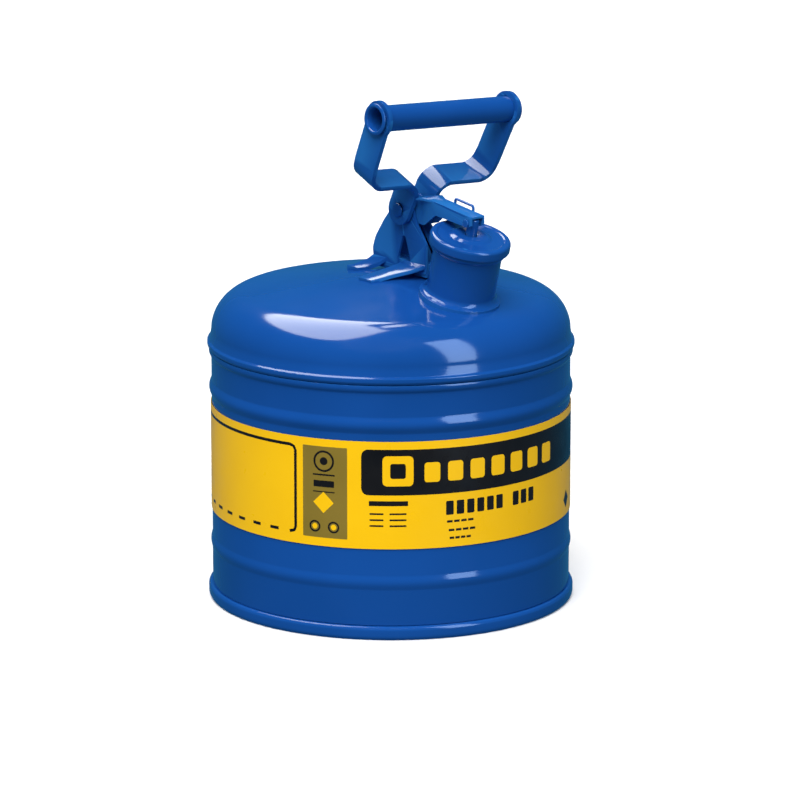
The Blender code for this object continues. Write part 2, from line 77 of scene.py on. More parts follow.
SPOUT_TILT = math.radians(15.0)
LID_PIN = 51.8 * MM                 # cross pin above the spout's origin, along its axis
SPOUT_AXIS = Vector((math.sin(SPOUT_TILT), 0.0, math.cos(SPOUT_TILT)))
SPOUT = Matrix.Translation(CROSS_PIN - SPOUT_AXIS * LID_PIN) @ Matrix.Rotation(SPOUT_TILT, 4, "Y")
NECK_R = 22.25 * MM
BORE_R = NECK_R - 1.5 * MM
NECK_TOP = 36.0 * MM
FLANGE_R = 26.5 * MM
LID_R = 26.3 * MM
LID_TOP = 42.3 * MM
SCREEN_BOTTOM = -58.0 * MM

PIN_R = 3.0 * MM
CHEEK_Y = (4.4 * MM, 6.0 * MM)
LEVER_Y = 4.1 * MM
LEVER_WIDE = 5.6 * MM
LEVER_SHEET = 1.3 * MM
CROSS_HOLE_R = 1.9 * MM
EAR_Y = 8.8 * MM                    # ears at the lever's back, which the leaning handle rests on
EAR_X = 36.65 * MM
SPRING_WIRE_R = 0.6 * MM

HANDLE_LEAN = math.radians(23.3)
HANDLE_ROLL = math.radians(3.5)
HANDLE = Matrix.Translation(PIVOT) @ Euler((-HANDLE_ROLL, HANDLE_LEAN, 0.0)).to_matrix().to_4x4()
GRIP_U = 71.5 * MM                  # grip's axis above the pin, along the strap
GRIP_V = 54.3 * MM                  # strap's centre from the middle of the handle, at the grip
GRIP_R = 8.5 * MM
GRIP_BORE = 6.6 * MM
STRAP_HALF = 10.2 * MM
EYE_R = 11.8 * MM
STRAP_THICK = 3.0 * MM
STRAP_V = 8.8 * MM                  # the same at the pin

LABEL_HALF_ARC = 172.5              # degrees of label each side of +X; the ends leave a gap at the back
PRINT_STEP = 1.5 * MM               # longest straight stretch of print round the can
INK = 0.03 * MM                     # thickness of one printed layer


# ---- mesh helpers -----------------------------------------------------------
def make(name, points, faces, material=None, place=None, sharp=38.0):
    """One closed mesh with its faces turned outwards, placed by a matrix."""
    mesh = bpy.data.meshes.new(name)
    mesh.from_pydata([tuple(p) for p in points], [], faces)
    work = bmesh.new()
    work.from_mesh(mesh)
    bmesh.ops.remove_doubles(work, verts=work.verts, dist=1e-8)
    bmesh.ops.recalc_face_normals(work, faces=work.faces)
    work.to_mesh(mesh)
    work.free()
    smooth(mesh, sharp)
    item = bpy.data.objects.new(name, mesh)
    bpy.context.scene.collection.objects.link(item)
    if place is not None:
        item.matrix_world = place
    if material:
        mesh.materials.append(material)
    return item


def smooth(mesh, sharp):
    mesh.shade_smooth()
    mesh.set_sharp_from_angle(angle=math.radians(sharp))


def soften(outline, radius, steps=3, closed=True):
    """Rounds the corners of a closed outline of 2-D points."""
    rounded = []
    count = len(outline)
    for i, corner in enumerate(outline):
        point = Vector(corner)
        if not closed and i in (0, count - 1) or point.x < 1e-6:
            rounded.append(tuple(point))
            continue
        behind = Vector(outline[i - 1]) - point
        ahead = Vector(outline[(i + 1) % count]) - point
        if min(behind.length, ahead.length) < 1e-7 or math.pi - behind.angle(ahead) < math.radians(14.0):
            rounded.append(tuple(point))
            continue
        cut = min(radius, 0.42 * behind.length, 0.42 * ahead.length)
        start = point + behind.normalized() * cut
        end = point + ahead.normalized() * cut
        for k in range(steps + 1):
            t = k / steps
            rounded.append(tuple(start * (1 - t) ** 2 + point * (2 * t * (1 - t)) + end * t ** 2))
    return rounded


def turn(name, profile, segments, material=None, place=None, shift=None):
    """Closed (r, z) profile turned about Z; shift moves each ring in x."""
    points = []
    rings = []
    for r, z in profile:
        offset = shift(r) if shift else 0.0
        if r < 1e-6:
            rings.append([len(points)] * segments)
            points.append((offset, 0.0, z))
            continue
        rings.append(list(range(len(points), len(points) + segments)))
        for i in range(segments):
            angle = math.tau * i / segments
            points.append((offset + r * math.cos(angle), r * math.sin(angle), z))
    faces = []
    for a, b in zip(rings, rings[1:] + rings[:1]):
        for i in range(segments):
            j = (i + 1) % segments
            unique = list(dict.fromkeys([a[i], a[j], b[j], b[i]]))
            if len(unique) > 2:
                faces.append(unique)
    return make(name, points, faces, material, place)


def loft(name, sections, material=None, place=None):
    """Skin over equal-length loops of points, with capped ends."""
    count = len(sections[0])
    points = [p for section in sections for p in section]
    faces = []
    for k in range(len(sections) - 1):
        for i in range(count):
            j = (i + 1) % count
            faces.append([k * count + i, k * count + j, (k + 1) * count + j, (k + 1) * count + i])
    faces.append(list(range(count)))
    faces.append([(len(sections) - 1) * count + i for i in range(count)])
    return make(name, points, faces, material, place)


def slab(name, outline, y0, y1, material=None):
    sections = [[Vector((x, y, z)) for x, z in outline] for y in (y0, y1)]
    return loft(name, sections, material)


def wire(name, route, radius, material, sides=16, place=None):
    """Round wire along a route of points."""
    sections = []
    side = None
    for k, point in enumerate(route):
        along = (route[min(k + 1, len(route) - 1)] - route[max(k - 1, 0)]).normalized()
        if side is None:
            side = along.orthogonal().normalized()
        side = (side - along * side.dot(along)).normalized()
        other = along.cross(side)
        loop = []
        for i in range(sides):
            angle = math.tau * i / sides
            loop.append(point + (side * math.cos(angle) + other * math.sin(angle)) * radius)
        sections.append(loop)
    return loft(name, sections, material, place)


def curve_through(corners, radius, steps=6):
    """A route of 3-D points with its corners rounded."""
    route = [corners[0]]
    for behind, point, ahead in zip(corners, corners[1:], corners[2:]):
        back = behind - point
        fore = ahead - point
        cut = min(radius, 0.45 * back.length, 0.45 * fore.length)
        start = point + back.normalized() * cut
        end = point + fore.normalized() * cut
        for k in range(steps + 1):
            t = k / steps
            route.append(start * (1 - t) ** 2 + point * (2 * t * (1 - t)) + end * t ** 2)
    route.append(corners[-1])
    return route


def rod(name, radius, y_half, centre, segments=SMALL):
    """Cutting cylinder along Y at an (x, z) centre."""
    outline = []
    for i in range(segments):
        angle = math.tau * (i + 0.5) / segments
        outline.append((centre[0] + radius * math.cos(angle), centre[1] + radius * math.sin(angle)))
    return slab(name, outline, -y_half, y_half)


def combine(item, tools, bevel=0.0, sharp=38.0):
    """Booleans and edge rounding, applied; the tools are removed."""
    for tool, operation in tools:
        modifier = item.modifiers.new("cut", "BOOLEAN")
        modifier.operation = operation
        modifier.solver = "EXACT"
        modifier.object = tool
    if bevel:
        weld = item.modifiers.new("weld", "WELD")
        weld.merge_threshold = 0.02 * MM
        edge = item.modifiers.new("edge", "BEVEL")
        edge.width = bevel
        edge.segments = 3
        edge.limit_method = "ANGLE"
        edge.angle_limit = math.radians(32.0)
        edge.miter_outer = "MITER_ARC"
    bpy.context.view_layer.update()
    evaluated = item.evaluated_get(bpy.context.evaluated_depsgraph_get())
    mesh = bpy.data.meshes.new_from_object(evaluated)
    item.modifiers.clear()
    item.data = mesh
    smooth(mesh, sharp)
    for tool, _ in tools:
        if not tool.get("keep"):
            bpy.data.objects.remove(tool)
    return item


def arc(centre, radius, start, end, count):
    points = []
    for i in range(count + 1):
        angle = math.radians(start + (end - start) * i / count)
        points.append((centre[0] + radius * math.cos(angle), centre[1] + radius * math.sin(angle)))
    return points


def bead(z, half, proud, count=20):
    """Rolled rib on the wall: (r, z) points from below to above."""
    points = []
    for i in range(count + 1):
        t = i / count
        points.append((BODY_R + proud * math.sin(math.pi * t) ** 1.3, z + half * (2.0 * t - 1.0)))
    return points


def stand_for(piece, body, slot, *nodes):
    """The piece rides on a body and replaces CAD nodes; the slot is not used."""
    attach(piece, body)
    if nodes:
        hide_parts(*nodes)
    return piece


# ---- materials ----------------------------------------------------------------
class Look:
    """A Principled material with short calls for its procedural detail."""

    def __init__(self, name, roughness, metallic=0.0, ior=1.45, coat=0.0, coat_roughness=0.05):
        self.material = bpy.data.materials.new(name)
        self.material.use_nodes = True
        self.tree = self.material.node_tree
        self.shader = self.tree.nodes["Principled BSDF"]
        self.shader.inputs["Metallic"].default_value = metallic
        self.shader.inputs["Roughness"].default_value = roughness
        self.shader.inputs["IOR"].default_value = ior
        self.shader.inputs["Coat Weight"].default_value = coat
        self.shader.inputs["Coat Roughness"].default_value = coat_roughness
        self.place = self.tree.nodes.new("ShaderNodeTexCoord").outputs["Object"]

    def noise(self, scale, detail=3.0, stretch=None, seed=0.0):
        """Noise in the object's own space; scale is in features per metre."""
        source = self.place
        if stretch or seed:
            mapping = self.tree.nodes.new("ShaderNodeMapping")
            mapping.inputs["Scale"].default_value = stretch or (1.0, 1.0, 1.0)
            mapping.inputs["Location"].default_value = (seed, seed, seed)
            self.tree.links.new(source, mapping.inputs["Vector"])
            source = mapping.outputs["Vector"]
        node = self.tree.nodes.new("ShaderNodeTexNoise")
        node.inputs["Scale"].default_value = scale
        node.inputs["Detail"].default_value = detail
        self.tree.links.new(source, node.inputs["Vector"])
        return node.outputs["Fac"]

    def ramp(self, value, stops):
        """Colour ramp; stops are (position, colour)."""
        node = self.tree.nodes.new("ShaderNodeValToRGB")
        elements = node.color_ramp.elements
        while len(elements) < len(stops):
            elements.new(0.5)
        for element, (position, colour) in zip(elements, stops):
            element.position = position
            element.color = (*colour, 1.0)
        self.tree.links.new(value, node.inputs["Fac"])
        return node.outputs["Color"]

    def level(self, value, low, high, start=0.3, end=0.7):
        node = self.tree.nodes.new("ShaderNodeMapRange")
        node.inputs["From Min"].default_value = start
        node.inputs["From Max"].default_value = end
        node.inputs["To Min"].default_value = low
        node.inputs["To Max"].default_value = high
        self.tree.links.new(value, node.inputs["Value"])
        return node.outputs["Result"]

    def calc(self, operation, first, second):
        """Math node; each operand is a number or a socket."""
        node = self.tree.nodes.new("ShaderNodeMath")
        node.operation = operation
        for socket, value in zip(node.inputs, (first, second)):
            if isinstance(value, (int, float)):
                socket.default_value = value
            else:
                self.tree.links.new(value, socket)
        return node.outputs["Value"]

    def mix(self, share, first, second):
        """Mixes two colours by a value; each is a colour or a socket."""
        node = self.tree.nodes.new("ShaderNodeMix")
        node.data_type = "RGBA"
        self.tree.links.new(share, node.inputs["Factor"])
        for name, value in (("A", first), ("B", second)):
            socket = [s for s in node.inputs if s.name == name and s.type == "RGBA"][0]
            if isinstance(value, tuple):
                socket.default_value = (*value, 1.0)
            else:
                self.tree.links.new(value, socket)
        return [s for s in node.outputs if s.type == "RGBA"][0]

    def edges(self, start=0.51, end=0.6):
        """1 on convex edges, 0 on flat surface."""
        geometry = self.tree.nodes.new("ShaderNodeNewGeometry")
        return self.level(geometry.outputs["Pointiness"], 0.0, 1.0, start, end)

    def set(self, socket, value):
        self.tree.links.new(value, self.shader.inputs[socket])

    def bump(self, *layers):
        """Height layers, each (value, depth in metres)."""
        normal = None
        for value, depth in layers:
            node = self.tree.nodes.new("ShaderNodeBump")
            node.inputs["Distance"].default_value = depth
            node.inputs["Strength"].default_value = 1.0
            self.tree.links.new(value, node.inputs["Height"])
            if normal:
                self.tree.links.new(normal, node.inputs["Normal"])
            normal = node.outputs["Normal"]
        self.tree.links.new(normal, self.shader.inputs["Normal"])


def paint_look():
    """Gloss paint: slight orange peel, thinner and lighter over the edges."""
    look = Look("gloss_blue_paint", 0.1, ior=1.5)
    stops = [(0.35, (0.005, 0.061, 0.285)), (0.65, (0.006, 0.067, 0.31))]
    tone = look.ramp(look.noise(14.0, 2.0), stops)
    look.set("Base Color", look.mix(look.edges(), tone, (0.015, 0.14, 0.45)))
    look.set("Roughness", look.level(look.noise(60.0, 4.0, seed=3.0), 0.09, 0.13))
    look.bump((look.noise(420.0, 1.0), 0.012 * MM), (look.noise(1900.0, 2.0, seed=1.0), 0.0015 * MM))
    return look.material


def film_look(name, low, high, roughness):
    """Printed film: faint mottling and a fine satin grain."""
    look = Look(name, roughness, ior=1.32)
    look.set("Base Color", look.ramp(look.noise(30.0, 4.0), [(0.3, low), (0.7, high)]))
    look.set("Roughness", look.level(look.noise(90.0, 4.0, seed=2.0), roughness - 0.05, roughness + 0.08))
    look.bump((look.noise(2600.0, 2.0), 0.003 * MM), (look.noise(70.0, 2.0, seed=5.0), 0.02 * MM))
    return look.material


def metal_look(name, low, high, roughness, stretch=(1.0, 1.0, 14.0)):
    """Worn plated or drawn metal: cloudy tone, fine lines and brighter edges."""
    look = Look(name, roughness, metallic=1.0)
    tone = look.ramp(look.noise(160.0, 5.0), [(0.3, low), (0.7, high)])
    look.set("Base Color", look.mix(look.edges(0.52, 0.64), tone, tuple(min(1.0, c * 1.5) for c in high)))
    lines = look.noise(900.0, 3.0, stretch=stretch, seed=4.0)
    look.set("Roughness", look.level(lines, roughness - 0.08, roughness + 0.12))
    look.bump((lines, 0.004 * MM))
    return look.material


def rubber_look():
    look = Look("gasket_rubber", 0.7, ior=1.5)
    stops = [(0.3, (0.012, 0.012, 0.013)), (0.7, (0.03, 0.03, 0.03))]
    look.set("Base Color", look.ramp(look.noise(120.0, 5.0), stops))
    look.set("Roughness", look.level(look.noise(300.0, 3.0, seed=1.0), 0.6, 0.82))
    look.bump((look.noise(1500.0, 4.0), 0.02 * MM))
    return look.material


def screen_look():
    """Woven wire: round wires crossing over and under, with painted shade in the openings between them."""
    pitch = 1.05 * MM
    wires_round = 100.0
    look = Look("wire_screen", 0.4, metallic=1.0)
    split = look.tree.nodes.new("ShaderNodeSeparateXYZ")
    look.tree.links.new(look.place, split.inputs["Vector"])
    turns = look.calc("ARCTAN2", split.outputs["Y"], split.outputs["X"])
    around = look.calc("SINE", look.calc("MULTIPLY", turns, wires_round), 0.0)
    up = look.calc("SINE", look.calc("MULTIPLY", split.outputs["Z"], math.tau / pitch), 0.0)
    height = look.calc("MAXIMUM", look.calc("ABSOLUTE", around, 0.0), look.calc("ABSOLUTE", up, 0.0))
    # wire colour darkened to near black towards the openings: painted shade
    tone = look.ramp(height, [(0.45, (0.01, 0.01, 0.01)), (0.8, (0.55, 0.54, 0.5))])
    look.set("Base Color", tone)
    look.set("Roughness", look.level(look.noise(500.0, 3.0), 0.3, 0.5))
    look.bump((height, 0.2 * MM))
    return look.material


# ---- tank ---------------------------------------------------------------------
def build_tank(blue):
    inner = BODY_R - SHEET
    low = CHIME_TOP + GAP
    top = SEAM_Z - GAP
    wall = [(inner, low), (BODY_R, low)]
    wall += bead(LABEL_LOW.z - 22.8 * MM, 5.0 * MM, 1.0 * MM)
    wall += bead(LABEL_HIGH.z + 10.2 * MM, 5.5 * MM, 1.6 * MM)
    wall += [(BODY_R, SEAM_Z - 5.6 * MM), (119.2 * MM, SEAM_Z - 4.2 * MM), (119.7 * MM, SEAM_Z - 2.6 * MM)]
    wall += [(119.5 * MM, top), (inner, top)]
    shell = turn("tank_wall", soften(wall, 0.9 * MM, 4), BIG, blue)
    stand_for(shell, "can", "blue_paint", "body_shell")

    skirt = inner - GAP
    pan = [(0.0, FLOOR_Z + SHEET), (skirt - 9.0 * MM, FLOOR_Z + SHEET)]
    pan += [(skirt - 3.0 * MM, FLOOR_Z + 1.6 * MM), (skirt - SHEET, FLOOR_Z + 5.0 * MM)]
    pan += [(skirt - SHEET, 18.0 * MM), (skirt, 18.0 * MM)]
    pan += [(skirt, CHIME_TOP), (119.4 * MM, CHIME_TOP), (CHIME_R, 7.2 * MM), (CHIME_R, 2.0 * MM)]
    pan += [(119.4 * MM, 0.0), (115.4 * MM, 0.0), (114.2 * MM, 1.6 * MM), (skirt - 4.0 * MM, FLOOR_Z - SHEET)]
    pan += [(skirt - 9.0 * MM, FLOOR_Z), (0.0, FLOOR_Z)]
    bottom = turn("bottom_rim", soften(pan, 1.2 * MM, 4), BIG, blue)
    stand_for(bottom, "can", "blue_paint", "bottom_pan")


def dome_curve(offset=0.0):
    """Outer (r, z) line of the dome from the wall to the apex, moved out by offset."""
    shoulder_steps = 28
    cone_steps = 12
    centre = (BODY_R - SHOULDER_R, SHOULDER_Z)
    points = arc(centre, SHOULDER_R + offset, 0.0, 90.0 - math.degrees(CONE_SLOPE), shoulder_steps)
    edge_r, edge_z = points[-1]
    for i in range(1, cone_steps + 1):
        share = 1.0 - i / cone_steps
        points.append((edge_r * share, edge_z + edge_r * (1.0 - share) * math.tan(CONE_SLOPE)))
    return points


def dome_shift(r):
    """How far a ring of the dome leans towards the spout."""
    edge = BODY_R - SHOULDER_R + SHOULDER_R * math.sin(CONE_SLOPE)
    return APEX_X * max(0.0, 1.0 - r / edge)


def build_dome(blue):
    skirt = BODY_R - SHEET - GAP
    rim = [(skirt, SEAM_Z - 10.0 * MM), (skirt, SEAM_Z), (119.5 * MM, SEAM_Z), (CHIME_R, SEAM_Z + 1.6 * MM)]
    rim += [(CHIME_R, SEAM_Z + 4.1 * MM), (119.2 * MM, SEAM_Z + 5.2 * MM), (118.4 * MM, SEAM_Z + 8.6 * MM)]
    profile = soften(rim, 0.45 * MM, 4, closed=False) + dome_curve()
    profile += list(reversed(dome_curve(-SHEET)))
    profile += [(skirt - SHEET, SEAM_Z + 4.0 * MM), (skirt - SHEET, SEAM_Z - 10.0 * MM)]
    dome = turn("tank_dome", profile, BIG, blue, shift=dome_shift)
    reach = 30.0 * MM
    bore = [(0.0, reach), (BORE_R, reach), (BORE_R, -reach), (0.0, -reach)]
    hole = turn("spout_hole", bore, MID, place=SPOUT)
    combine(dome, [(hole, "DIFFERENCE")])
    stand_for(dome, "can", "blue_paint", "dome_top")


def dome_tool():
    """Solid just under the dome's face: what stands on the dome is trimmed to meet it."""
    low = SEAM_Z - 18.0 * MM
    profile = [(0.0, low), (BODY_R, low)] + dome_curve(-0.02 * MM)
    tool = turn("dome_tool", profile, BIG, shift=dome_shift)
    tool["keep"] = True
    return tool


# ---- label ----------------------------------------------------------------------
def build_label(yellow):
    thick = 0.3 * MM
    sections = []
    columns = round(2.0 * LABEL_HALF_ARC)
    for i in range(columns + 1):
        angle = math.radians(LABEL_HALF_ARC * (2.0 * i / columns - 1.0))
        c = math.cos(angle)
        s = math.sin(angle)
        corners = ((LABEL_R - thick, LABEL_LOW.z), (LABEL_R, LABEL_LOW.z))
        corners += ((LABEL_R, LABEL_HIGH.z), (LABEL_R - thick, LABEL_HIGH.z))
        sections.append([Vector((r * c, r * s, z)) for r, z in corners])
    label = loft("label_film", sections, yellow)
    stand_for(label, "can", "label_print", "label_band")


def line(points, width):
    """Printed line through (degrees round the can, millimetres up) points, of one width in mm."""
    return [(deg, up, width) for deg, up in points]


def block(deg0, deg1, low, high, corner=0.0):
    """Filled rectangle with rounded corners, as a line of varying width."""
    steps = 8
    middle = (low + high) / 2
    height = high - low
    if not corner:
        return [(deg0, middle, height), (deg1, middle, height)]
    reach = math.degrees(corner * MM / LABEL_R)
    left = []
    right = []
    for k in range(steps + 1):
        t = k / steps
        drop = corner * (1.0 - math.sqrt(max(0.0, 1.0 - (1.0 - t) ** 2)))
        left.append((deg0 + reach * t, middle, height - 2.0 * drop))
        right.append((deg1 - reach * t, middle, height - 2.0 * drop))
    return left + list(reversed(right))


def disc(deg, up, radius, power=2.0):
    """Filled circle; power 1 makes it a diamond."""
    steps = 24
    found = []
    for k in range(steps + 1):
        t = 0.999 * math.cos(math.pi * k / steps)
        half = radius * (1.0 - abs(t) ** power) ** (1.0 / power)
        found.append((deg - math.degrees(radius * MM * t / LABEL_R), up, 2.0 * half))
    return found


def ring(deg, up, radius, width):
    """Printed circle line."""
    steps = 36
    points = []
    for k in range(steps + 1):
        angle = math.tau * k / steps
        aside = math.degrees(radius * MM * math.cos(angle) / LABEL_R)
        points.append((deg + aside, up + radius * math.sin(angle)))
    return line(points, width)


def ink(name, strokes, layer, material):
    """Printed strokes as thin closed strips that follow the label's curve."""
    low = LABEL_R + (0.4 + 2.0 * layer) * INK
    high = low + INK
    points = []
    faces = []
    for stroke in strokes:
        path = [(math.radians(deg) * LABEL_R, up * MM, width * MM) for deg, up, width in stroke]
        dense = [path[0]]
        for a, b in zip(path, path[1:]):
            steps = max(1, math.ceil(abs(b[0] - a[0]) / PRINT_STEP))
            for k in range(1, steps + 1):
                dense.append(tuple(p + (q - p) * k / steps for p, q in zip(a, b)))
        base = len(points)
        for k, (s, z, width) in enumerate(dense):
            s0, z0, _ = dense[max(k - 1, 0)]
            s1, z1, _ = dense[min(k + 1, len(dense) - 1)]
            side = Vector((z0 - z1, s1 - s0)).normalized() * max(width, 0.02 * MM) / 2
            for sign in (1.0, -1.0):
                angle = (s + side.x * sign) / LABEL_R
                for r in (low, high):
                    points.append((r * math.cos(angle), r * math.sin(angle), z + side.y * sign))
        for k in range(len(dense) - 1):
            a = base + 4 * k
            b = a + 4
            faces += [[a + 1, b + 1, b + 3, a + 3], [a, a + 2, b + 2, b], [a, b, b + 1, a + 1]]
            faces.append([a + 2, a + 3, b + 3, b + 2])
        end = base + 4 * (len(dense) - 1)
        faces += [[base, base + 1, base + 3, base + 2], [end, end + 2, end + 3, end + 1]]
    piece = make(name, points, faces, material, sharp=50.0)
    stand_for(piece, "can", "label_print")


def build_print(black, olive, yellow):
    """Generic label art: framed writing panel, approval strip, black title block and short bars."""
    frame_line = [(-146.0, 68.0), (-148.0, 72.0), (-148.0, 121.0), (-146.0, 125.0), (-72.0, 125.0)]
    frame_line += [(-70.6, 124.0), (-70.0, 121.5), (-70.0, 71.0), (-70.5, 68.6), (-72.2, 67.6)]
    dark = [line(frame_line, 2.0)]
    for k in range(9):
        deg = -78.2 - 7.6 * k
        dark.append(line([(deg - 1.7, 68.0), (deg + 1.7, 68.0)], 2.0))
    dark.append(block(-48.2, 47.0, 95.8, 125.8, 4.5))
    dark.append(line([(-45.8, 90.4), (-33.7, 90.4)], 3.2))
    for up in (83.5, 79.5, 75.6):
        dark.append(line([(-45.6, up), (-41.3, up)], 1.1))
        dark.append(line([(-39.4, up), (-34.2, up)], 1.1))
    for start, count in ((-21.7, 6), (2.4, 3)):
        for k in range(count):
            dark.append(block(start + 3.5 * k, start + 3.5 * k + 2.5, 81.6, 90.8, 0.8))
    for up, start, end in ((77.2, -21.4, -12.0), (71.4, -20.8, -11.4), (66.2, -20.5, -13.0)):
        for k in range(4):
            step = (end - start) / 4
            dark.append(line([(start + step * k, up), (start + step * (k + 0.78), up)], 1.5))
    dark.append(disc(36.0, 71.0, 6.0, 1.0))
    for k in range(7):
        dark.append(line([(62.0, 118.0 - 7.0 * k), (118.0 - 9.0 * (k % 3), 118.0 - 7.0 * k)], 1.6))
    ink("label_black_print", dark, 0, black)
    ink("label_olive_print", [block(-67.3, -52.6, 65.9, 126.0, 0.6)], 0, olive)

    marks = [ring(-60.2, 116.4, 6.4, 1.3), disc(-60.2, 116.4, 2.6)]
    marks += [line([(-63.8, 107.4), (-56.6, 107.4)], 1.0), block(-63.6, -56.8, 99.4, 103.6, 0.5)]
    marks.append(line([(-63.8, 96.2), (-56.6, 96.2)], 0.7))
    marks += [ring(deg, 73.2, 3.3, 1.1) for deg in (-63.2, -57.0)]
    ink("label_mark_print", marks, 1, black)

    bright = [disc(-60.3, 89.2, 7.0, 1.0), disc(-63.2, 73.2, 1.8), disc(-57.0, 73.2, 1.8)]
    bright.append(block(-41.6, -32.0, 101.8, 121.6, 3.0))
    for k in range(7):
        bright.append(block(-28.6 + 7.5 * k, -23.6 + 7.5 * k, 104.0, 117.0, 2.0))
    ink("label_yellow_print", bright, 1, yellow)
    ink("label_inset_print", [block(-39.2, -34.4, 106.8, 116.6, 1.5)], 2, black)


# ---- spout ----------------------------------------------------------------------
def build_spout(blue, tool):
    fillet = arc((FLANGE_R, 5.2 * MM), FLANGE_R - NECK_R, 180.0, 262.0, 14)
    profile = [(BORE_R, -4.0 * MM), (FLANGE_R, -4.0 * MM), (FLANGE_R, 0.9 * MM)] + list(reversed(fillet))
    profile += [(NECK_R, 31.4 * MM), (23.9 * MM, 32.6 * MM), (24.3 * MM, 34.2 * MM), (23.7 * MM, 35.6 * MM)]
    profile += [(22.6 * MM, NECK_TOP), (BORE_R, NECK_TOP)]
    neck = turn("spout_pipe", soften(profile, 0.7 * MM, 3), MID, blue, place=SPOUT)
    combine(neck, [(tool, "DIFFERENCE")])
    stand_for(neck, "can", "blue_paint", "spout_neck")


def build_arrester(brass, screen):
    bore = BORE_R - GAP
    top = 33.0 * MM
    low = top - 8.0 * MM
    collar = [(12.9 * MM, top), (bore, top), (bore, low), (18.6 * MM, low), (18.6 * MM, top - 2.0 * MM)]
    collar.append((12.9 * MM, top - 2.0 * MM))
    piece = turn("arrester_ring", soften(collar, 0.5 * MM), MID, brass, place=SPOUT)
    stand_for(piece, "can", "arrester_brass", "arrester_collar")
    for name, node, outer in (("screen_outside", "arrester_outer_screen", 18.2 * MM),
                              ("screen_inside", "arrester_inner_screen", 14.6 * MM)):
        inner = outer - 0.8 * MM
        high = top - 2.3 * MM
        tube = [(inner, high), (outer, high), (outer, SCREEN_BOTTOM), (inner, SCREEN_BOTTOM)]
        piece = turn(name, tube, MID, screen, place=SPOUT)
        stand_for(piece, "can", "screen_mesh", node)
    under = SCREEN_BOTTOM - GAP
    cap = [(0.0, under), (18.2 * MM, under), (18.2 * MM, under - 1.6 * MM), (0.0, under - 1.6 * MM)]
    piece = turn("arrester_cap", soften(cap, 0.4 * MM), MID, brass, place=SPOUT)
    stand_for(piece, "can", "arrester_brass", "arrester_end_cap")


def build_lid(blue, rubber, steel):
    inner = LID_R - 1.3 * MM
    low = 36.4 * MM
    under = LID_TOP - 2.2 * MM
    cap = [(4.0 * MM, under), (inner, under), (inner, low - 0.9 * MM), (LID_R - 0.4 * MM, low - 0.9 * MM)]
    cap += [(LID_R, low - 0.3 * MM)] + arc((LID_R - 2.2 * MM, LID_TOP - 2.2 * MM), 2.2 * MM, 0.0, 90.0, 10)
    cap += [(22.4 * MM, LID_TOP), (21.6 * MM, LID_TOP - 0.5 * MM), (14.0 * MM, LID_TOP - 0.5 * MM)]
    cap += [(13.0 * MM, LID_TOP), (11.0 * MM, LID_TOP + 0.9 * MM), (4.0 * MM, LID_TOP + 0.9 * MM)]
    piece = turn("lid_cover", soften(cap, 0.6 * MM, 4), MID, blue, place=SPOUT)
    stand_for(piece, "lid", "blue_paint", "lid_cap")

    seat = NECK_TOP + GAP
    gasket = [(13.4 * MM, seat), (24.2 * MM, seat), (24.2 * MM, under - GAP), (13.4 * MM, under - GAP)]
    piece = turn("lid_seal", soften(gasket, 0.9 * MM, 5), MID, rubber, place=SPOUT)
    stand_for(piece, "lid", "gasket_rubber", "lid_gasket")
    plate = [(4.0 * MM, 36.6 * MM), (13.1 * MM, 36.6 * MM), (13.1 * MM, under - GAP), (4.0 * MM, under - GAP)]
    piece = turn("seal_plate", soften(plate, 0.4 * MM), MID, steel, place=SPOUT)
    stand_for(piece, "lid", "plated_steel", "gasket_retainer")

    high = LID_PIN + 2.6 * MM
    stud = [(0.0, 34.8 * MM), (5.6 * MM, 34.8 * MM), (5.6 * MM, 36.3 * MM), (3.7 * MM, 36.3 * MM)]
    stud += [(3.7 * MM, high - 0.8 * MM), (3.0 * MM, high), (0.0, high)]
    post = turn("lid_post", soften(stud, 0.4 * MM), SMALL, blue, place=SPOUT)
    combine(post, [(rod("post_hole", CROSS_HOLE_R, 9.0 * MM, (CROSS_PIN.x, CROSS_PIN.z)), "DIFFERENCE")])
    stand_for(post, "lid", "blue_paint", "lid_stud")


# ---- bracket and hinge --------------------------------------------------------
def strip(name, stations, side):
    """Foot: (x from, x to, y, bottom z, top z) stations in mm, outwards from the cheek."""
    sections = []
    for x0, x1, y, low, top in stations:
        corners = ((x0, low), (x1, low), (x1, top), (x0, top))
        sections.append([Vector((x, side * y, z)) * MM for x, z in corners])
    return loft(name, sections)


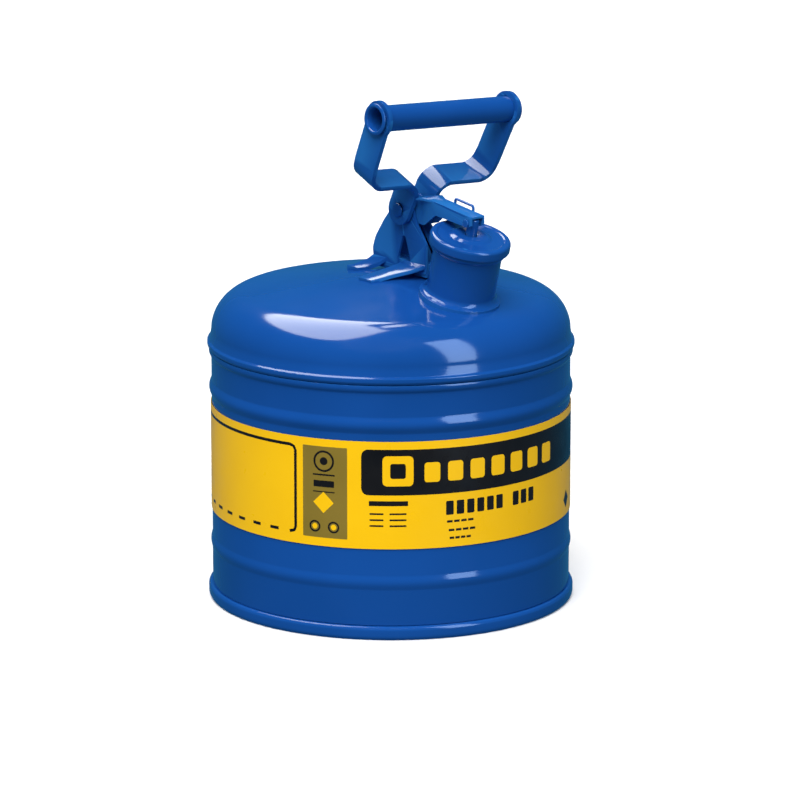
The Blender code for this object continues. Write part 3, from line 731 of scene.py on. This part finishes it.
def build_bracket(blue, tool):
    pivot = (PIVOT.x, PIVOT.z)
    cheek = [(-10.0, 222.0), (-11.5, 232.0), (-8.5, 240.0), (0.5, 252.5)]
    cheek = [(x * MM, z * MM) for x, z in cheek]
    cheek += arc(pivot, 9.6 * MM, 165.0, 20.0, 24)
    rest = [(33.0, 255.0), (43.5, 242.0), (43.5, 222.0), (27.5, 222.0), (27.5, 229.5), (22.3, 244.5)]
    rest += [(19.5, 244.5), (14.5, 229.5), (14.5, 222.0)]
    cheek += [(x * MM, z * MM) for x, z in rest]
    cheek = [(x - 0.05, z) for x, z in soften([(x + 0.05, z) for x, z in cheek], 2.2 * MM, 5)]
    inner, outer = CHEEK_Y
    bracket = slab("hinge_bracket", cheek, inner, outer, blue)
    right = slab("cheek_right", cheek, -outer, -inner)
    plate = [(-9.8, 220.0), (43.5, 220.0), (43.5, 228.6), (-9.8, 228.6)]
    saddle = slab("saddle", [(x * MM, z * MM) for x, z in plate], -inner - SHEET, inner + SHEET)
    front = ((21.0, 43.0, 5.2, 226.0, 228.4), (20.0, 39.5, 13.0, 223.6, 226.0),
             (14.5, 30.0, 21.0, 220.2, 222.7), (9.5, 23.5, 28.0, 217.2, 219.8),
             (7.5, 20.5, 33.0, 213.4, 218.4))
    rear = ((-9.8, 4.0, 5.2, 225.8, 228.2), (-14.0, -1.0, 8.5, 221.4, 224.0),
            (-23.0, -11.0, 13.0, 216.6, 219.4), (-26.5, -15.0, 15.5, 213.0, 218.6))
    tools = [(right, "UNION"), (saddle, "UNION")]
    for side in (1.0, -1.0):
        tools.append((strip("front_foot", front, side), "UNION"))
        tools.append((strip("rear_foot", rear, side), "UNION"))
    tools.append((rod("bracket_hole", PIN_R + GAP, 12.0 * MM, pivot), "DIFFERENCE"))
    tools.append((tool, "DIFFERENCE"))
    combine(bracket, tools, bevel=0.4 * MM)
    stand_for(bracket, "can", "blue_paint", "pivot_bracket")


def build_hinge(blue, steel, dark_steel):
    place = Matrix.Translation(PIVOT) @ Matrix.Rotation(-math.pi / 2, 4, "X")
    head = [(0.0, -12.3), (2.2, -12.3), (3.9, -12.05), (4.6, -11.6), (4.6, -11.0), (3.0, -11.0), (3.0, 13.6)]
    head += [(2.4, 14.2), (0.0, 14.2)]
    washer = [(3.3, 11.0), (6.2, 11.0), (6.2, 11.8), (3.3, 11.8)]
    clip = [(3.3, 12.1), (5.0, 12.1), (4.4, 13.2), (3.3, 13.2)]
    rows = (("pivot_pin", "hinge_pin", "blue_paint", head, blue),
            ("pivot_washer", "pin_washer", "plated_steel", washer, steel),
            ("pivot_clip", "pin_retainer", "spring_steel", clip, dark_steel))
    for name, node, slot, profile, material in rows:
        points = soften([(r * MM, z * MM) for r, z in profile], 0.3 * MM)
        stand_for(turn(name, points, SMALL, material, place=place), "can", slot, node)

    build_spring(dark_steel)


def build_spring(dark_steel):
    """Coil and lower arm stay on the bracket; the upper arm lies under the lever and lifts with it."""
    coil = 4.9 * MM
    turns = 2.5
    steps = 120
    sides = 14
    place = Matrix.Translation(PIVOT)
    route = [Vector((-21.0, -1.7, -29.0)) * MM]
    for i in range(steps + 1):
        angle = math.pi * 0.9 - math.tau * turns * i / steps
        y = (-1.7 + 3.4 * i / steps) * MM
        route.append(Vector((coil * math.cos(angle), y, coil * math.sin(angle))))
    spring = wire("return_spring", route, SPRING_WIRE_R, dark_steel, sides, place)
    stand_for(spring, "can", "spring_steel", "lid_spring")
    route = [Vector((6.0, 1.7, -1.6)) * MM, Vector((25.0, 1.7, 8.2)) * MM]
    arm = wire("spring_arm", route, SPRING_WIRE_R, dark_steel, sides, place)
    stand_for(arm, "lever", "spring_steel")


# ---- lever ----------------------------------------------------------------------
def flange(name, side):
    """Side of the lever: round about the pin, then deep below the web, then over the lid."""
    stations = []
    radius = 7.6 * MM
    for k in range(13):
        angle = math.radians(176.0 - 86.0 * k / 12)
        reach = radius * math.sin(angle)
        stations.append((PIVOT.x + radius * math.cos(angle), PIVOT.z - reach, PIVOT.z + reach, LEVER_Y))
    for x, low, high, outer in ((33.0, 254.6, 271.6, LEVER_Y), (37.5, 254.0, 272.2, LEVER_Y),
                                (42.0, 255.2, 272.8, LEVER_WIDE), (52.0, 262.8, 271.5, LEVER_WIDE),
                                (85.0, 259.8, 267.25, LEVER_WIDE), (88.2, 261.4, 266.85, LEVER_WIDE)):
        stations.append((x * MM, low * MM, high * MM, outer))
    sections = []
    for x, low, high, outer in stations:
        corners = ((outer - LEVER_SHEET, low), (outer, low), (outer, high), (outer - LEVER_SHEET, high))
        sections.append([Vector((x, side * y, z)) for y, z in corners])
    return loft(name, sections)


def build_lever(blue):
    web = []
    for x, z, half in ((EAR_X, 272.2 * MM, EAR_Y), (42.0 * MM, 272.8 * MM, EAR_Y),
                       (49.0 * MM, 271.9 * MM, LEVER_WIDE), (88.2 * MM, 266.85 * MM, LEVER_WIDE)):
        corners = ((-half, z - LEVER_SHEET), (half, z - LEVER_SHEET), (half, z), (-half, z))
        web.append([Vector((x, y, height)) for y, height in corners])
    lever = loft("lever_arm", web, blue)
    reach = 12.0 * MM
    tools = [(flange("flange_left", 1.0), "UNION"), (flange("flange_right", -1.0), "UNION")]
    tools.append((rod("lever_hole", PIN_R + GAP, reach, (PIVOT.x, PIVOT.z)), "DIFFERENCE"))
    tools.append((rod("cross_hole", CROSS_HOLE_R, reach, (CROSS_PIN.x, CROSS_PIN.z)), "DIFFERENCE"))
    combine(lever, tools, bevel=0.4 * MM)
    stand_for(lever, "lever", "blue_paint", "lid_lever")

    inner = LEVER_WIDE + GAP
    outer = inner + 1.3 * MM
    pin = [(0.0, -outer), (2.6 * MM, -outer), (2.6 * MM, -inner), (1.6 * MM, -inner)]
    pin += [(1.6 * MM, inner), (2.6 * MM, inner), (2.6 * MM, outer), (0.0, outer)]
    place = Matrix.Translation(CROSS_PIN) @ Matrix.Rotation(-math.pi / 2, 4, "X")
    cross = turn("cross_pin", soften(pin, 0.35 * MM), SMALL, blue, place=place)
    stand_for(cross, "lever", "blue_paint", "lid_cross_pin")

    low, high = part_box("wire_clip")
    radius = 0.9 * MM
    y = LEVER_WIDE + 1.4 * MM
    fall = 18.0 * MM * 0.1285
    top = high.z - radius
    ends = [Vector((low.x + radius, y, top)), Vector((high.x - radius, y, top - fall))]
    legs = [Vector((p.x, y - 0.2 * MM, p.z - 6.0 * MM)) for p in ends]
    route = curve_through([legs[0], ends[0], ends[1], legs[1]], 1.8 * MM)
    clip = wire("lever_wire", route, radius, blue)
    stand_for(clip, "lever", "blue_paint", "wire_clip")


# ---- handle -----------------------------------------------------------------------
def strap_line():
    """Centre line (v, u) of one strap, from above the grip down to below the pin."""
    points = []
    top_v, top_u = 52.4 * MM, 38.0 * MM
    slope = (GRIP_V - top_v) / (GRIP_U - top_u)
    for k in range(25):
        u = GRIP_U + EYE_R * math.sin(math.radians(86.0 - 126.0 * k / 24))
        points.append((GRIP_V + (u - GRIP_U) * slope, u))
    bends = [(GRIP_V - 16.0 * MM * slope, GRIP_U - 16.0 * MM), (top_v, top_u)]
    bends += arc((41.2 * MM, 34.6 * MM), 10.6 * MM, -4.0, -90.0, 14)
    bends += [(30.0 * MM, 24.0 * MM)]
    bends += arc((19.4 * MM, 13.4 * MM), 10.6 * MM, 90.0, 176.0, 14)
    bends += [(STRAP_V, 7.0 * MM)]
    points += bends
    for k in range(19):
        points.append((STRAP_V, STRAP_HALF * math.sin(math.radians(-86.0 * k / 18))))
    return points


def strap_half_width(u):
    """Half the strap's width at a height: round ends about the grip and the pin."""
    eye = max(EYE_R ** 2 - (u - GRIP_U) ** 2, 0.0)
    if u > GRIP_U:
        return math.sqrt(eye)
    end = math.sqrt(max(STRAP_HALF ** 2 - min(u, 0.0) ** 2, 0.0))
    return max(end, math.sqrt(eye))


def build_strap(name, side, node, blue):
    route = strap_line()
    sections = []
    for k, (v, u) in enumerate(route):
        ahead = Vector(route[min(k + 1, len(route) - 1)])
        behind = Vector(route[max(k - 1, 0)])
        along = (ahead - behind).normalized()
        across = Vector((along.y, -along.x)) * (STRAP_THICK / 2)
        half = strap_half_width(u)
        loop = []
        for x, sign in ((half, 1.0), (half, -1.0), (-half, -1.0), (-half, 1.0)):
            loop.append(Vector((x, side * (v + across.x * sign), u + across.y * sign)))
        sections.append(loop)
    strap = loft(name, sections, blue)
    tools = [(rod("strap_pin_hole", 4.25 * MM, 70.0 * MM, (0.0, 0.0)), "DIFFERENCE")]
    tools.append((rod("strap_grip_hole", GRIP_R + GAP, 70.0 * MM, (0.0, GRIP_U)), "DIFFERENCE"))
    combine(strap, tools, bevel=0.55 * MM)
    strap.matrix_world = HANDLE
    stand_for(strap, "handle", "blue_paint", node)


def build_handle(blue):
    build_strap("strap_left", 1.0, "handle_strap_left", blue)
    build_strap("strap_right", -1.0, "handle_strap_right", blue)
    end = GRIP_V + STRAP_THICK / 2 + 1.2 * MM
    half = [(GRIP_R, end), (GRIP_R + 1.7 * MM, end + 0.5 * MM), (GRIP_R + 1.7 * MM, end + 1.6 * MM)]
    half += [(GRIP_R, end + 2.2 * MM), (GRIP_BORE + 0.8 * MM, end + 1.4 * MM), (GRIP_BORE, end - 1.5 * MM)]
    profile = soften(half + [(r, -z) for r, z in reversed(half)], 0.7 * MM, 4)
    place = HANDLE @ Matrix.Translation((0.0, 0.0, GRIP_U)) @ Matrix.Rotation(-math.pi / 2, 4, "X")
    grip = turn("grip_bar", profile, MID, blue, place=place)
    stand_for(grip, "handle", "blue_paint", "grip_tube")


# ---- studio -------------------------------------------------------------------------
CAMERA_TURN = math.radians(39.0)
CAMERA_RISE = math.radians(13.19)
CAMERA_FAR = 3.302
CAMERA_LENS = 225.9                 # mm on a 36 mm sensor
CAMERA_SHIFT = (0.0114, -0.0371)
TARGET = Vector((0.0, 0.0, 0.150))


def build_camera():
    level = math.cos(CAMERA_RISE)
    back = Vector((math.cos(CAMERA_TURN) * level, -math.sin(CAMERA_TURN) * level, math.sin(CAMERA_RISE)))
    camera = bpy.data.objects.new("camera", bpy.data.cameras.new("camera"))
    bpy.context.scene.collection.objects.link(camera)
    camera.location = TARGET + back * CAMERA_FAR
    camera.rotation_mode = "QUATERNION"
    camera.rotation_quaternion = back.to_track_quat("Z", "Y")
    camera.data.sensor_width = 36.0
    camera.data.lens = CAMERA_LENS
    camera.data.shift_x, camera.data.shift_y = CAMERA_SHIFT
    bpy.context.scene.camera = camera


def softbox(name, shape, place, aim, size, colour, spin=0.0):
    """Soft panel that shows in the gloss; its colour is what a mirror would see."""
    data = bpy.data.lights.new(name, "AREA")
    data.shape = shape
    data.size, data.size_y = size
    brightness = max(colour)
    data.color = [channel / brightness for channel in colour]
    area = size[0] * size[1] * (math.pi / 4 if shape == "ELLIPSE" else 1.0)
    data.energy = brightness * math.pi * area
    lamp = bpy.data.objects.new(name, data)
    bpy.context.scene.collection.objects.link(lamp)
    lamp.location = place
    facing = (Vector(place) - Vector(aim)).to_track_quat("Z", "Y").to_matrix()
    lamp.rotation_euler = (facing @ Matrix.Rotation(spin, 3, "Z")).to_euler()
    lamp.visible_diffuse = False
    lamp.visible_camera = False


def sun(name, direction, energy, spread):
    """Broad soft light without a highlight of its own."""
    lamp = bpy.data.objects.new(name, bpy.data.lights.new(name, "SUN"))
    bpy.context.scene.collection.objects.link(lamp)
    lamp.data.energy = energy
    lamp.data.angle = math.radians(spread)
    lamp.rotation_euler = Vector(direction).to_track_quat("Z", "Y").to_euler()
    lamp.visible_glossy = False


def build_world():
    """White backdrop for the camera, even fill for diffuse light, dim and blue in reflections."""
    world = bpy.data.worlds.new("studio")
    bpy.context.scene.world = world
    world.use_nodes = True
    nodes = world.node_tree.nodes
    link = world.node_tree.links.new

    def background(colour, strength):
        node = nodes.new("ShaderNodeBackground")
        node.inputs["Color"].default_value = (*colour, 1.0)
        node.inputs["Strength"].default_value = strength
        return node.outputs["Background"]

    def choose(share, first, second):
        node = nodes.new("ShaderNodeMixShader")
        link(share, node.inputs["Fac"])
        link(first, node.inputs[1])
        link(second, node.inputs[2])
        return node.outputs["Shader"]

    path = nodes.new("ShaderNodeLightPath").outputs
    fill = background((0.96, 0.98, 1.0), 0.38)
    mirrored = background((0.08, 0.5, 0.95), 0.3)
    lighting = choose(path["Is Glossy Ray"], fill, mirrored)
    seen = choose(path["Is Camera Ray"], lighting, background((1.0, 1.0, 1.0), 1.0))
    link(seen, nodes["World Output"].inputs["Surface"])


def build_studio():
    half = 6.0
    corners = [(-half, -half, 0.0), (half, -half, 0.0), (half, half, 0.0), (-half, half, 0.0)]
    look = Look("pale_floor", 0.7)
    stops = [(0.3, (0.87, 0.87, 0.87)), (0.7, (0.89, 0.89, 0.89))]
    look.set("Base Color", look.ramp(look.noise(3.0), stops))
    floor = make("studio_floor", corners, [[0, 1, 2, 3]], look.material)
    floor.visible_glossy = False
    floor.visible_diffuse = False

    build_world()
    sun("key", (0.367, -0.422, 0.829), 3.85, 50.0)
    sun("back_fill", (-0.64, 0.52, 0.57), 1.4, 60.0)
    above = (-0.85, -0.17, 1.7)
    below = (-0.85, -0.17, 0.0)
    softbox("overhead", "ELLIPSE", above, below, (2.62, 1.44), (7.5, 7.5, 7.2), math.radians(130.0))
    middle = (0.03, -0.04, 0.2)
    softbox("right_panel", "RECTANGLE", (1.45, 0.12, 0.88), middle, (0.58, 1.75), (3.6, 5.2, 7.6))
    bpy.context.scene.view_settings.view_transform = "Standard"


def main():
    blue = paint_look()
    yellow = film_look("label_yellow", (0.95, 0.54, 0.001), (0.98, 0.57, 0.002), 0.32)
    black = film_look("label_black", (0.006, 0.005, 0.005), (0.012, 0.010, 0.009), 0.28)
    olive = film_look("label_olive", (0.22, 0.155, 0.02), (0.25, 0.175, 0.026), 0.34)
    rubber = rubber_look()
    steel = metal_look("zinc_plate", (0.55, 0.55, 0.53), (0.7, 0.69, 0.66), 0.28)
    dark_steel = metal_look("spring_wire", (0.12, 0.12, 0.13), (0.22, 0.22, 0.23), 0.34)
    brass = metal_look("brass", (0.5, 0.34, 0.12), (0.66, 0.47, 0.2), 0.3)
    screen = screen_look()

    build_tank(blue)
    build_dome(blue)
    build_label(yellow)
    build_print(black, olive, yellow)
    tool = dome_tool()
    build_spout(blue, tool)
    build_arrester(brass, screen)
    build_lid(blue, rubber, steel)
    build_bracket(blue, tool)
    bpy.data.objects.remove(tool)
    build_hinge(blue, steel, dark_steel)
    build_lever(blue)
    build_handle(blue)
    build_camera()
    build_studio()


main()
